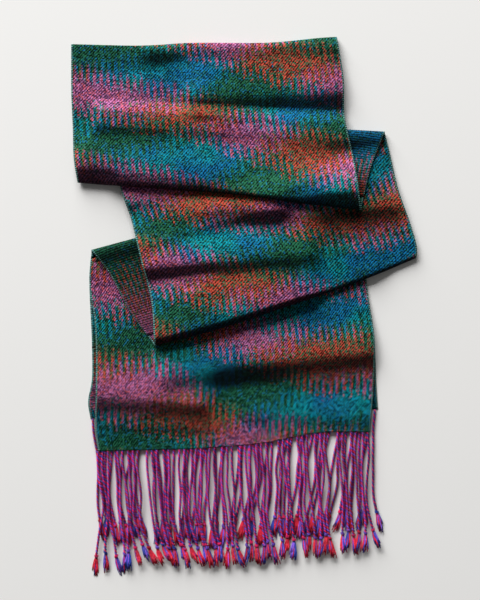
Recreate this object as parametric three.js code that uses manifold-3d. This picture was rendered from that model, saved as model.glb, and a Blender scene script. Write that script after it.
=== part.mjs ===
// A handwoven twill scarf, doubled at its middle and laid down in a flat zigzag with both fringed ends
// together at the bottom. Millimetres, +Z up from the surface it lies on, +X to the right and +Y up the
// page as it is seen from above. The origin is the middle of its footprint, on the surface.
// Each stretch of cloth that shows is a wall of its own: top, middle and end stretch, the two turns whose
// corners stick out, and the under end. The layers between them are one rounded solid.
import * as THREE from "three";
import { mergeVertices } from "three/addons/utils/BufferGeometryUtils.js";
import Module from "manifold-3d";

const wasm = await Module();
wasm.setup();

// Cloth
const CLOTH = 1.0; // thickness of the woven cloth
const LAYER_PITCH = 1.5; // one layer of cloth and the air above it
const PAIR = 2 * LAYER_PITCH; // every stretch is two layers
const FLOOR_LAYER = CLOTH / 2; // middle of a layer that lies on the surface
const SEAM_GAP = 0.3; // clearance between neighbouring pieces
const TUCK_GAP = 0.5; // how far a layer that a fold tucks in rides above the next one

// Folds
const BULGE = { top: 5, first: 6, second: 5, third: 6, fourth: 4.5 }; // how far each roll reaches back
const FLAP = 6; // how far a piece runs back under its own fold, past the roll
const OVERHANG = 4; // cloth that crosses an edge of the stack below it stays up so far past it,
const DROP_SHORT = 18; // and is down again so far past it
const DROP_LONG = 30;
const RIDGE_FADE = 26; // length over which a ridge dies away past its ends

// Where the tucked-in start of a stretch lies, as shares of its length at its left and right selvedge,
// and the shares of its width between which it changes
const MIDDLE_START = { left: 0.24, right: 0.05, from: 0.55, to: 0.85 };
const END_START = { left: 0.045, right: 0.3, from: 0.15, to: 0.6 };
const UNDER_START = 0.58; // the under end runs from below the end stretch to its own hem
const RIGHT_TURN = { near: 0.06, far: 0.19 }; // share of the width that a turn shows at its two folds
const LEFT_TURN = { near: 0.06, far: 0.22 };

// Hidden layers
const UNDERSIDE_GAP = CLOTH / 2 + SEAM_GAP + 0.4; // from the middle of the cloth above
const SELVEDGE_INSET = 2; // they end so far inside the cloth's edges
const GROOVE_DEPTH = 9; // air below the first hidden layer, cut in from a free edge
const GROOVE_HEIGHT = 0.5;
const GROOVE_LOWEST = 1.3;
const GROOVE_START = 4; // outside the edge
const CUT_TOLERANCE = 0.04; // slivers thinner than this, left by the cuts, are merged away

// Fringe
const STRIP_WIDTH = 2.2; // row of root knots that the strands hang from
const STRIP_THICKNESS = 1.2;
const STRIP_GAP = STRIP_WIDTH + 2 * SEAM_GAP; // the cloth ends so far above the end of the strip
const ROOT_PITCH = 3.2; // neighbouring strands of a lock, at the hem and half way down
const WAIST_PITCH = 2.7;
const TUFT_STAGGER = 4; // every second strand of a lock is so much shorter
const HEM_LIFT = 1.3; // the hem rides on the fringe of the under end
const UPPER_FRINGE_LEVEL = 4.3; // middle of the strands that lie on those of the under end
const UNDER_FRINGE_LEVEL = 1.1; // middle of the strands that lie on the surface
const TIP_LEVEL = 1.45; // middle of the tufts on the surface
const KNOT_FLATNESS = 0.7; // height of a knot or tuft as a share of its width

// Stretches of the page, down from one value of y to the other, over which a height changes
const HEM_RISE = [-88, -112];
const UPPER_FRINGE_RISE = [-146, -165];
const UPPER_FRINGE_FALL = [-243, -258];
const UNDER_FRINGE_RISE = [-190, -215];

const COLOURS = { cloth: 0x2b5a6b, turn: 0x1f5a4a, hidden: 0x16443a, fringe: 0x8c2257 };

// Eases from 0 at one value to 1 at the other, whichever of them is higher.
const smoothstep = (zero, one, x) => THREE.MathUtils.smoothstep((x - zero) / (one - zero), 0, 1);
const lerp = THREE.MathUtils.lerp;

// A smooth edge through a few points of the outline, read by the share of its length.
function edge(...points) {
  const curve = new THREE.CatmullRomCurve3(points.map(([x, y]) => new THREE.Vector3(x, y, 0)));
  return (share) => curve.getPointAt(THREE.MathUtils.clamp(share, 0, 1));
}

// The folds and hems, each from its left end to its right end
const FOLDS = {
  top: edge([-172.8, 262.6], [-98, 261.2], [-55, 263.6], [26, 264], [76.4, 268.8], [92.5, 269.8]),
  first: edge([-166, 124], [-112, 119.5], [-4, 111], [44.5, 104], [115.9, 96.2]),
  second: edge([-136, 190.5], [104.4, 177], [140.3, 175]),
  third: edge([-89, -38.5], [-38, -25.7], [44.5, 1], [123.3, 28.8], [171.8, 49]),
  fourth: edge([-152.5, 57], [-110, 68.5], [121.3, 131]),
  hem: edge([-145.5, -144.5], [-32, -141], [24, -135.6], [72.8, -126.3], [125.5, -125.3]),
  underHem: edge([-153.5, -112], [-20, -110], [133.7, -102.5]),
};

// A stretch of cloth lies between two folds and two selvedges. Its map takes the share across the
// cloth and the share along it to a place on the surface.
function stretch(start, end, left, right) {
  const corners = [start(0), start(1), end(1), end(0)];
  const turn = Math.sign(THREE.ShapeUtils.area(corners));
  const map = (across, along) => {
    const point = start(across).multiplyScalar(1 - along);
    point.addScaledVector(end(across), along);
    point.addScaledVector(left(along), 1 - across);
    point.addScaledVector(right(along), across);
    point.addScaledVector(corners[0], -(1 - across) * (1 - along));
    point.addScaledVector(corners[1], -across * (1 - along));
    point.addScaledVector(corners[2], -across * along);
    point.addScaledVector(corners[3], -(1 - across) * along);
    return point;
  };
  const length = map(0.5, 0).distanceTo(map(0.5, 1));
  const width = map(0, 0.5).distanceTo(map(1, 0.5));
  return { map, corners, turn, length, width };
}

const A = stretch(
  FOLDS.top,
  FOLDS.first,
  edge([-172.8, 262.6], [-172.5, 215.3], [-171.1, 180.8], [-169.7, 150.7], [-166, 124]),
  edge([92.5, 269.8], [98.7, 229.6], [100.5, 186.6], [108.7, 149.3], [115.9, 96.2]),
);
const AB = stretch(
  FOLDS.first,
  FOLDS.second,
  edge([-166, 124], [-150, 159], [-136, 190.5]),
  edge([115.9, 96.2], [125, 135.3], [140.3, 175]),
);
const B = stretch(
  FOLDS.second,
  FOLDS.third,
  edge([-136, 190.5], [-123.7, 119.9], [-112.3, 86.1], [-103.2, 49], [-92.2, 5.3], [-89, -38.5]),
  edge([140.3, 175], [145.5, 153.5], [154.2, 115.2], [165.6, 83.7], [172.3, 58.8], [171.8, 49]),
);
const BC = stretch(
  FOLDS.third,
  FOLDS.fourth,
  edge([-89, -38.5], [-113.5, -5], [-135.3, 35.2], [-152.5, 57]),
  edge([171.8, 49], [148, 92], [121.3, 131]),
);
const C = stretch(
  FOLDS.fourth,
  FOLDS.hem,
  edge([-152.5, 57], [-154.6, 24], [-149, -18], [-147.7, -84], [-148.7, -119], [-145.5, -144.5]),
  edge([121.3, 131], [122, 28.2], [129.9, -30.6], [129.6, -73], [125.5, -125.3]),
);
const UNDER = stretch(
  FOLDS.fourth,
  FOLDS.underHem,
  edge([-152.5, 57], [-154.6, 24], [-152.3, -33], [-152.3, -73], [-156, -95], [-153.5, -112]),
  edge([121.3, 131], [122, 28.2], [129.9, -30.6], [132.6, -86.2], [133.7, -102.5]),
);

// How far a point lies outside a stretch, below zero inside it.
function outside({ corners, turn }, x, y) {
  let distance = -Infinity;
  corners.forEach((corner, i) => {
    const next = corners[(i + 1) % corners.length];
    const [dx, dy] = [next.x - corner.x, next.y - corner.y];
    const left = (dx * (y - corner.y) - dy * (x - corner.x)) / Math.hypot(dx, dy);
    distance = Math.max(distance, -turn * left);
  });
  return distance;
}

// 1 where a stretch lies below a point, falling to 0 where the cloth above has dropped past its edge.
const covers = (part, drop, x, y) => 1 - smoothstep(OVERHANG, drop, outside(part, x, y));

// The stretches in the order that they lie in, from the surface up
const ORDER = ["C", "BC", "B", "AB", "A"];

// Soft ridges: the line that each follows, its half width, its height, and the lowest stretch that it
// lifts. Whatever lies on that stretch is lifted with it.
const RIDGES = [
  { x1: -172, y1: 255, x2: 94, y2: 262, width: 8, height: 3.5, lifts: "A" },
  { x1: -172, y1: 214, x2: 20, y2: 217, width: 13, height: 4.5, lifts: "A" },
  { x1: -20, y1: 219, x2: 100, y2: 226, width: 12, height: 6.5, lifts: "A" },
  { x1: -138, y1: 184, x2: 140, y2: 169, width: 12, height: 3, lifts: "AB" },
  { x1: -165, y1: 152, x2: 70, y2: 146, width: 17, height: 2, lifts: "A" },
  { x1: -162, y1: 138, x2: 112, y2: 111, width: 14, height: 3.5, lifts: "A" },
  { x1: -117, y1: 97, x2: 30, y2: 93, width: 12, height: 4, lifts: "B" },
  { x1: -108, y1: 42, x2: 70, y2: 56, width: 11, height: 6, lifts: "B" },
  { x1: 20, y1: 76, x2: 150, y2: 92, width: 13, height: 3, lifts: "B" },
  { x1: -86, y1: -22, x2: 166, y2: 62, width: 13, height: 4, lifts: "B" },
  { x1: -150, y1: 52, x2: 121, y2: 124, width: 9, height: 2, lifts: "BC" },
  { x1: -75, y1: -64, x2: 132, y2: -41, width: 11, height: 6, lifts: "C" },
  { x1: -150, y1: -88, x2: 30, y2: -98, width: 11, height: 5, lifts: "C" },
  { x1: 10, y1: -104, x2: 130, y2: -107, width: 11, height: 2.5, lifts: "C" },
];

function ridges(name, x, y) {
  let height = 0;
  for (const ridge of RIDGES.filter(({ lifts }) => ORDER.indexOf(lifts) <= ORDER.indexOf(name))) {
    const [dx, dy] = [ridge.x2 - ridge.x1, ridge.y2 - ridge.y1];
    const length = Math.hypot(dx, dy);
    const along = ((x - ridge.x1) * dx + (y - ridge.y1) * dy) / length;
    const across = ((y - ridge.y1) * dx - (x - ridge.x1) * dy) / length;
    const past = Math.max(-along, along - length, 0);
    const fade = 1 - smoothstep(0, RIDGE_FADE, past);
    height += ridge.height * fade * Math.exp(-((across / ridge.width) ** 2));
  }
  return height;
}

// How many stretches lie below the turns and the upper stretches
const endStack = (x, y) => covers(C, DROP_LONG, x, y);
const turnStack = (x, y) => endStack(x, y) + covers(BC, DROP_LONG, x, y);
const middleStack = (x, y) => turnStack(x, y) + covers(B, DROP_SHORT, x, y);
const topStack = (x, y) => middleStack(x, y) + covers(AB, DROP_SHORT, x, y);

// What lifts the upper layer of each stretch
const lift = {
  C: (x, y) => HEM_LIFT * smoothstep(...HEM_RISE, y),
  BC: (x, y) => PAIR * endStack(x, y),
  B: (x, y) => PAIR * turnStack(x, y),
  AB: (x, y) => PAIR * middleStack(x, y),
  A: (x, y) => PAIR * topStack(x, y),
};

// Heights of the middle of the cloth: the upper layer of a stretch, the layer that a fold tucks in below
// it, and a layer on the surface
const upperLayer = (name) => (x, y) => FLOOR_LAYER + LAYER_PITCH + lift[name](x, y) + ridges(name, x, y);
const tuckedLayer = (name) => (x, y) => upperLayer(name)(x, y) - LAYER_PITCH + TUCK_GAP;
const onFloor = () => FLOOR_LAYER;

const raise = (point, z) => new THREE.Vector3(point.x, point.y, z);

// Rows of points over a stretch, from share to share along it. Where they start may change across it.
function flatRows(part, level, columns, start, end, count) {
  const startAt = typeof start === "function" ? start : () => start;
  return Array.from({ length: count + 1 }, (_, row) =>
    columns.map((across) => {
      const point = part.map(across, lerp(startAt(across), end, row / count));
      return raise(point, level(point.x, point.y));
    }),
  );
}

// Rows that carry the cloth round a fold, from the end of its upper stretch over to the lower one, which
// runs back below it. The top fold is the start of both.
function rollRows(upper, upperLevel, lower, lowerLevel, columns, bulge) {
  const upperShare = (reach) => (upper === lower ? reach : upper.length - reach) / upper.length;
  const place = (part, across, share, under) => {
    const point = part.map(across, share);
    const top = upperLevel(point.x, point.y);
    return raise(point, lerp(top, lowerLevel(point.x, point.y), under));
  };
  const rows = [30, 60, 90, 120, 150, 180].map((degrees) => {
    const angle = THREE.MathUtils.degToRad(degrees);
    const reach = CLOTH / 2 + bulge * (1 - Math.sin(angle));
    const under = (1 - Math.cos(angle)) / 2;
    return columns.map((across) =>
      degrees <= 90
        ? place(upper, across, upperShare(reach), under)
        : place(lower, across, reach / lower.length, under),
    );
  });
  return [...rows, columns.map((across) => place(lower, across, (bulge + FLAP) / lower.length, 1))];
}

// Turns two skins of points with the same rows and columns into one closed shell.
function shell(topRows, bottomRows) {
  const [rows, columns] = [topRows.length, topRows[0].length];
  const positions = [...topRows.flat(), ...bottomRows.flat()].flatMap(({ x, y, z }) => [x, y, z]);
  const top = (row, column) => row * columns + column;
  const bottom = (row, column) => rows * columns + row * columns + column;
  const faces = [];
  // Stretches run down and up the page in turn, and the faces of all of them point outwards.
  const firstFace = [topRows[0][0], topRows[1][0], topRows[1][1]];
  const upright = new THREE.Triangle(...firstFace).getNormal(new THREE.Vector3());
  const outward = upright.dot(new THREE.Vector3().subVectors(topRows[0][0], bottomRows[0][0])) > 0;
  const quad = (a, b, c, d) => faces.push(...(outward ? [a, b, c, a, c, d] : [a, c, b, a, d, c]));
  for (let row = 0; row + 1 < rows; row += 1) {
    for (let column = 0; column + 1 < columns; column += 1) {
      quad(top(row, column), top(row + 1, column), top(row + 1, column + 1), top(row, column + 1));
      quad(bottom(row, column), bottom(row, column + 1), bottom(row + 1, column + 1), bottom(row + 1, column));
    }
    quad(top(row, 0), bottom(row, 0), bottom(row + 1, 0), top(row + 1, 0));
    const last = columns - 1;
    quad(top(row, last), top(row + 1, last), bottom(row + 1, last), bottom(row, last));
  }
  for (let column = 0; column + 1 < columns; column += 1) {
    quad(top(0, column), top(0, column + 1), bottom(0, column + 1), bottom(0, column));
    const last = rows - 1;
    quad(top(last, column), bottom(last, column), bottom(last, column + 1), top(last, column + 1));
  }
  const geometry = new THREE.BufferGeometry();
  geometry.setAttribute("position", new THREE.Float32BufferAttribute(positions, 3));
  geometry.setIndex(faces);
  return geometry;
}

// A wall of cloth of even thickness about rows of points on its middle surface.
function clothWall(rows, thickness = CLOTH) {
  const last = { row: rows.length - 1, column: rows[0].length - 1 };
  const skin = (side) =>
    rows.map((row, i) =>
      row.map((point, j) => {
        const along = new THREE.Vector3().subVectors(
          rows[Math.min(i + 1, last.row)][j],
          rows[Math.max(i - 1, 0)][j],
        );
        const across = new THREE.Vector3().subVectors(
          row[Math.min(j + 1, last.column)],
          row[Math.max(j - 1, 0)],
        );
        const normal = along.cross(across).normalize();
        return point.clone().addScaledVector(normal, (side * thickness) / 2);
      }),
    );
  return shell(skin(1), skin(-1));
}

function solid(geometry) {
  const bare = new THREE.BufferGeometry();
  bare.setAttribute("position", geometry.getAttribute("position"));
  bare.setIndex(geometry.getIndex());
  const merged = mergeVertices(bare, 1e-4);
  return new wasm.Manifold(
    new wasm.Mesh({
      numProp: 3,
      vertProperties: merged.getAttribute("position").array,
      triVerts: new Uint32Array(merged.getIndex().array),
    }),
  );
}

function geometryOf(manifold) {
  const mesh = manifold.getMesh();
  const geometry = new THREE.BufferGeometry();
  geometry.setAttribute("position", new THREE.Float32BufferAttribute(mesh.vertProperties, 3));
  geometry.setIndex([...mesh.triVerts]);
  return geometry;
}

const shares = (count, from = 0, to = 1) =>
  Array.from({ length: count + 1 }, (_, i) => lerp(from, to, i / count));

// Columns lie closer where a stretch steps up onto the stack below it: left on the top stretch, right on
// the middle one.
const TOP_COLUMNS = [0, 0.06, 0.12, 0.18, 0.24, 0.34, 0.45, 0.56, 0.67, 0.78, 0.9, 1];
const MIDDLE_COLUMNS = [0, 0.1, 0.2, 0.31, 0.42, 0.53, 0.64, 0.75, 0.83, 0.91, 1];
const END_COLUMNS = shares(10);

// The top stretch: round its top fold, down, and round the first fold.
function topRows() {
  const level = upperLayer("A");
  const start = (CLOTH / 2 + BULGE.top) / A.length;
  const end = 1 - (CLOTH / 2 + BULGE.first) / A.length;
  return [
    ...rollRows(A, level, A, onFloor, TOP_COLUMNS, BULGE.top).reverse(),
    ...flatRows(A, level, TOP_COLUMNS, start, end, 19),
    ...rollRows(A, level, AB, tuckedLayer("AB"), TOP_COLUMNS, BULGE.first),
  ];
}

const startLine = ({ left, right, from, to }) => (across) => lerp(left, right, smoothstep(from, to, across));

// The middle stretch starts out of sight: close to the second fold at its right selvedge, which shows
// there, and just above the first fold at its left one.
function middleRows() {
  const level = upperLayer("B");
  const end = 1 - (CLOTH / 2 + BULGE.third) / B.length;
  return [
    ...flatRows(B, level, MIDDLE_COLUMNS, startLine(MIDDLE_START), end, 25),
    ...rollRows(B, level, BC, tuckedLayer("BC"), MIDDLE_COLUMNS, BULGE.third),
  ];
}

// The end stretch shows from the fourth fold at its left selvedge, and from the third one elsewhere.
function endRows() {
  return flatRows(C, upperLayer("C"), END_COLUMNS, startLine(END_START), 1 - STRIP_GAP / C.length, 24);
}

function underEndRows() {
  return flatRows(UNDER, onFloor, END_COLUMNS, UNDER_START, 1 - STRIP_GAP / UNDER.length, 5);
}

// The two turns show only their corners, so each is a strip beside its free selvedge. It starts past the
// flap of the stretch that lies on it, and goes round its own fold.
function turnRows(part, level, next, strip, bulgeBefore, bulge, count) {
  const start = (bulgeBefore + FLAP + 2 * SEAM_GAP) / part.length;
  const end = 1 - (CLOTH / 2 + bulge) / part.length;
  const rows = shares(count, start, end).map((along) =>
    strip(along).map((across) => {
      const point = part.map(across, along);
      return raise(point, level(point.x, point.y));
    }),
  );
  return [...rows, ...rollRows(part, level, next, onFloor, strip(1), bulge)];
}

function rightTurnRows() {
  const strip = (along) => shares(4, 1 - lerp(RIGHT_TURN.near, RIGHT_TURN.far, along), 1);
  return turnRows(AB, upperLayer("AB"), B, strip, BULGE.first, BULGE.second, 8);
}

function leftTurnRows() {
  const strip = (along) => shares(4, 0, lerp(LEFT_TURN.near, LEFT_TURN.far, along));
  return turnRows(BC, upperLayer("BC"), C, strip, BULGE.third, BULGE.fourth, 9);
}

// Hidden layers below one stretch, filled down to the surface.
function hiddenLayers(part, level, from, to, count) {
  const inset = SELVEDGE_INSET / part.width;
  const top = (x, y) => level(x, y) - UNDERSIDE_GAP;
  const rows = flatRows(part, top, shares(8, inset, 1 - inset), from, to, count);
  return solid(shell(rows, rows.map((row) => row.map((point) => raise(point, 0)))));
}

// The air below the first hidden layer, open at a free edge, so that the layer shows there as cloth.
function groove(part, level, side, from, to, count) {
  const reach = [-GROOVE_START / part.width, GROOVE_DEPTH / part.width];
  const columns = side === "left" ? reach : reach.map((share) => 1 - share).reverse();
  const drop = UNDERSIDE_GAP + CLOTH + GROOVE_HEIGHT / 2;
  const height = (x, y) => Math.max(level(x, y) - drop, GROOVE_LOWEST);
  return solid(clothWall(flatRows(part, height, columns, from, to, count), GROOVE_HEIGHT));
}

function hiddenStack(walls) {
  const start = (BULGE.top + FLAP + 1) / A.length;
  const beforeRoll = (part, bulge) => 1 - (bulge + 2 * CLOTH + SEAM_GAP) / part.length;
  const stacked = wasm.Manifold.union([
    hiddenLayers(A, upperLayer("A"), start, beforeRoll(A, BULGE.first), 16),
    hiddenLayers(AB, upperLayer("AB"), 0.06, beforeRoll(AB, BULGE.second), 6),
    hiddenLayers(B, upperLayer("B"), 0.05, beforeRoll(B, BULGE.third), 19),
    hiddenLayers(BC, upperLayer("BC"), 0.06, beforeRoll(BC, BULGE.fourth), 8),
    hiddenLayers(UNDER, upperLayer("C"), 0.045, UNDER_START - SEAM_GAP / UNDER.length, 12),
  ]);
  const air = [
    groove(A, upperLayer("A"), "left", 0.22, 0.9, 12),
    groove(A, upperLayer("A"), "right", 0.12, 0.85, 14),
    groove(B, upperLayer("B"), "left", 0.45, 0.94, 12),
    groove(B, upperLayer("B"), "right", 0.1, 0.94, 12),
    groove(UNDER, upperLayer("C"), "left", 0.3, UNDER_START, 6),
    groove(UNDER, upperLayer("C"), "right", 0.3, UNDER_START, 6),
  ];
  const clearance = walls.map((rows) => solid(clothWall(rows, CLOTH + 2 * SEAM_GAP)));
  const cleared = stacked.subtract(wasm.Manifold.union([...air, ...clearance]));
  const pieces = cleared.decompose().sort((one, other) => other.volume() - one.volume());
  return geometryOf(pieces[0].simplify(CUT_TOLERANCE));
}

// A wall's rows with SEAM_GAP added all round, which clears the hidden layers of it.
const beyond = (from, to) => to.clone().add(new THREE.Vector3().subVectors(to, from).setLength(SEAM_GAP));

function grown(rows) {
  const wider = rows.map((row) => [beyond(row[1], row[0]), ...row.slice(1, -1), beyond(row.at(-2), row.at(-1))]);
  const first = wider[0].map((point, column) => beyond(wider[1][column], point));
  const last = wider.at(-1).map((point, column) => beyond(wider.at(-2)[column], point));
  return [first, ...wider.slice(1, -1), last];
}

// Locks of the fringe: its root on the hem, its strands, where it passes half way down, and where its
// tufts end and how far they stand apart.
const UPPER_LOCKS = [
  { root: -141, strands: 3, waist: -138, tip: -137, fan: 11, end: -270 },
  { root: -124, strands: 2, waist: -119, tip: -117, fan: 6, end: -268 },
  { root: -111, strands: 3, waist: -109, tip: -98, fan: 8, end: -260 },
  { root: -92, strands: 3, waist: -88, tip: -79, fan: 6.5, end: -260 },
  { root: -78, strands: 2, waist: -75, tip: -63.5, fan: 6, end: -261 },
  { root: -62, strands: 2, waist: -63, tip: -53, fan: 5, end: -262 },
  { root: -48, strands: 3, waist: -48, tip: -39, fan: 5.5, end: -261 },
  { root: -32, strands: 2, waist: -32, tip: -24.5, fan: 5.5, end: -260 },
  { root: -17, strands: 3, waist: -15, tip: -9.5, fan: 6, end: -262 },
  { root: 1, strands: 3, waist: 3, tip: 9, fan: 5.5, end: -259 },
  { root: 17, strands: 3, waist: 20, tip: 26, fan: 5.5, end: -258 },
  { root: 39, strands: 3, waist: 42, tip: 44, fan: 6.5, end: -253 },
  { root: 58, strands: 3, waist: 62, tip: 65, fan: 6, end: -251 },
  { root: 76, strands: 3, waist: 79, tip: 82, fan: 5.5, end: -252 },
  { root: 96, strands: 2, waist: 99, tip: 102, fan: 6, end: -247 },
  { root: 109, strands: 2, waist: 110, tip: 112, fan: 5.5, end: -249 },
  { root: 121, strands: 2, waist: 121, tip: 126, fan: 9, end: -246 },
];
const UNDER_LOCKS = [
  { root: -146, strands: 3, waist: -142, tip: -137, fan: 5, end: -234 },
  { root: -128, strands: 3, waist: -128, tip: -122, fan: 5, end: -240 },
  { root: -107, strands: 3, waist: -113, tip: -106, fan: 5.5, end: -233 },
  { root: -87, strands: 3, waist: -84, tip: -82, fan: 5, end: -238 },
  { root: -71, strands: 2, waist: -74, tip: -70, fan: 4.8, end: -244 },
  { root: -55, strands: 3, waist: -55, tip: -58, fan: 4.8, end: -236 },
  { root: -39, strands: 3, waist: -44, tip: -43, fan: 4.8, end: -239 },
  { root: -22, strands: 3, waist: -25, tip: -27, fan: 4.8, end: -242 },
  { root: -6, strands: 2, waist: -4, tip: -14, fan: 4.8, end: -238 },
  { root: 9, strands: 3, waist: 10, tip: 2, fan: 4.8, end: -234 },
  { root: 27, strands: 2, waist: 24, tip: 17, fan: 4.8, end: -242 },
  { root: 44, strands: 3, waist: 38, tip: 33, fan: 4.8, end: -231 },
  { root: 64, strands: 3, waist: 56, tip: 50, fan: 4.8, end: -233 },
  { root: 82, strands: 3, waist: 73, tip: 67, fan: 4.8, end: -232 },
  { root: 98, strands: 2, waist: 90, tip: 81, fan: 4.8, end: -234 },
  { root: 110, strands: 3, waist: 103, tip: 101, fan: 6, end: -226 },
  { root: 120, strands: 2, waist: 116, tip: 118, fan: 5, end: -224 },
  { root: 130.8, strands: 1, waist: 126.5, tip: 136, fan: 0, end: -226 },
];

// A strand's outline down its length, from its root to the end of its tuft
const STRAND_OUTLINE = [
  { share: 0, half: 1 },
  { share: 0.28, half: 1 },
  { share: 0.54, half: 1 },
  { share: 0.8, half: 1 },
  { share: 0.84, half: 1.45 }, // knot
  { share: 0.87, half: 0.9 },
  { share: 0.94, half: 1.9 }, // tuft
  { share: 1, half: 1 },
];
const STRAND_CORNERS = [[-1, -0.6], [1, -0.6], [0, 1]];

function strand(root, waist, tip, end, level) {
  const rings = STRAND_OUTLINE.map(({ share, half }) => {
    const upperPart = lerp(root.x, waist, smoothstep(0, 0.5, share));
    const x = share < 0.5 ? upperPart : lerp(waist, tip, smoothstep(0.5, 1, share));
    const y = lerp(root.y, end, share);
    const height = half > 1 ? half * KNOT_FLATNESS : half;
    return STRAND_CORNERS.map(([side, up]) => new THREE.Vector3(x + side * half, y, level(y) + up * height));
  });
  const positions = rings.flat().flatMap((point) => point.toArray());
  const faces = [2, 1, 0, ...[0, 1, 2].map((corner) => (rings.length - 1) * 3 + corner)];
  for (let ring = 0; ring + 1 < rings.length; ring += 1) {
    for (let side = 0; side < 3; side += 1) {
      const [here, beside] = [ring * 3 + side, ring * 3 + ((side + 1) % 3)];
      faces.push(here, beside + 3, here + 3, here, beside, beside + 3);
    }
  }
  const geometry = new THREE.BufferGeometry();
  geometry.setAttribute("position", new THREE.Float32BufferAttribute(positions, 3));
  geometry.setIndex(faces);
  return solid(geometry);
}

// The share of its line at which a hem reaches a place across the page
function shareAt(line, x) {
  let [low, high] = [0, 1];
  for (let step = 0; step < 24; step += 1) {
    const middle = (low + high) / 2;
    [low, high] = line(middle).x < x ? [middle, high] : [low, middle];
  }
  return low;
}

function fringe(locks, line, hemLevel, level) {
  const strands = locks.flatMap(({ root, strands: count, waist, tip, fan, end }) =>
    Array.from({ length: count }, (_, i) => {
      const place = i - (count - 1) / 2;
      const rootPoint = line(shareAt(line, root + place * ROOT_PITCH));
      rootPoint.y += STRIP_WIDTH / 2;
      const tuftEnd = end + (i % 2) * TUFT_STAGGER;
      return strand(rootPoint, waist + place * WAIST_PITCH, tip + place * fan, tuftEnd, level);
    }),
  );
  const stripRows = END_COLUMNS.map((share) => [0, 1].map((side) => {
    const point = line(share);
    return new THREE.Vector3(point.x, point.y + side * STRIP_WIDTH, hemLevel(point.x, point.y));
  }));
  return geometryOf(wasm.Manifold.union([solid(clothWall(stripRows, STRIP_THICKNESS)), ...strands]));
}

// The strands of the upper end leave the hem, lie on those of the under end, and come down past them.
function upperFringeLevel(y) {
  const lying = lerp(FLOOR_LAYER + LAYER_PITCH + HEM_LIFT, UPPER_FRINGE_LEVEL, smoothstep(...UPPER_FRINGE_RISE, y));
  return lerp(lying, TIP_LEVEL, smoothstep(...UPPER_FRINGE_FALL, y));
}

const underFringeLevel = (y) => lerp(UNDER_FRINGE_LEVEL, TIP_LEVEL, smoothstep(...UNDER_FRINGE_RISE, y));

const group = new THREE.Group();

function add(name, geometry, colour) {
  geometry.computeVertexNormals();
  const material = new THREE.MeshStandardMaterial({ color: colour, roughness: 0.85, metalness: 0 });
  const mesh = new THREE.Mesh(geometry, material);
  mesh.name = name;
  group.add(mesh);
}

const walls = {
  top_stretch: topRows(),
  middle_stretch: middleRows(),
  end_stretch: endRows(),
  right_turn: rightTurnRows(),
  left_turn: leftTurnRows(),
};
for (const [name, rows] of Object.entries(walls)) {
  add(name, clothWall(rows), name.endsWith("turn") ? COLOURS.turn : COLOURS.cloth);
}
add("under_end", clothWall(underEndRows()), COLOURS.cloth);
add("hidden_layers", hiddenStack(Object.values(walls).map(grown)), COLOURS.hidden);
const upperFringe = fringe(UPPER_LOCKS, FOLDS.hem, upperLayer("C"), upperFringeLevel);
const underFringe = fringe(UNDER_LOCKS, FOLDS.underHem, () => UNDER_FRINGE_LEVEL, underFringeLevel);
add("fringe_end", upperFringe, COLOURS.fringe);
add("fringe_under", underFringe, COLOURS.fringe);

export default group;
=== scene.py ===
"""Looks of a folded handwoven scarf: its weave, soft rolled folds, selvedges and knotted fringe."""

import math
import random

import bmesh
import bpy
import numpy as np
from mathutils import Matrix, Vector


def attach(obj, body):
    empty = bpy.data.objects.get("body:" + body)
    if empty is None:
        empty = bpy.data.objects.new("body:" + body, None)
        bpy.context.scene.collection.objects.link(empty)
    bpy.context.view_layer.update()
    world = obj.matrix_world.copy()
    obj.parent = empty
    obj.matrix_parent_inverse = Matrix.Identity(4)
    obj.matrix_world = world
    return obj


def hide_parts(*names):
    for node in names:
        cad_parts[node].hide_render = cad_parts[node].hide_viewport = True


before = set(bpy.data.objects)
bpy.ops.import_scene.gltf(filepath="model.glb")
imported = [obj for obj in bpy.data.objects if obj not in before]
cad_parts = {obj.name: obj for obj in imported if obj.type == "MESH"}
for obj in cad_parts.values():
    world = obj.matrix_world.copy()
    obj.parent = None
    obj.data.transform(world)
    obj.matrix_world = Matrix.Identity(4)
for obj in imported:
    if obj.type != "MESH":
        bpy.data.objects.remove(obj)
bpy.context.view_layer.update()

bl_info = {
    "name": "Folded scarf",
    "version": (1, 0, 0),
    "blender": (4, 5, 0),
    "location": "3D View > Sidebar > Scarf",
    "description": "Weaves, folds and fringes a twill scarf that lies folded in a zigzag",
    "category": "Object",
}

MM = 0.001


def ease(zero, one, x):
    """Goes smoothly from 0 at one value to 1 at the other, whichever of them is higher."""
    t = np.clip((np.asarray(x, float) - zero) / (one - zero), 0.0, 1.0)
    return t * t * (3.0 - 2.0 * t)


def mix(a, b, share):
    return a + (b - a) * share


# Settings a user would change

def linear(value):
    """The linear light of an sRGB reading, 0 to 255."""
    v = value / 255.0
    return v / 12.92 if v <= 0.04045 else ((v + 0.055) / 1.055) ** 2.4


def colour(name, description, value):
    """A colour setting; value is its sRGB reading, 0 to 255."""
    return bpy.props.FloatVectorProperty(
        name=name, description=description, subtype="COLOR", size=3, min=0.0, max=1.0,
        default=tuple(linear(c) for c in value))


def length(name, description, millimetres):
    return bpy.props.FloatProperty(
        name=name, description=description, default=millimetres * MM, min=0.0,
        subtype="DISTANCE", unit="LENGTH", precision=5)


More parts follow.
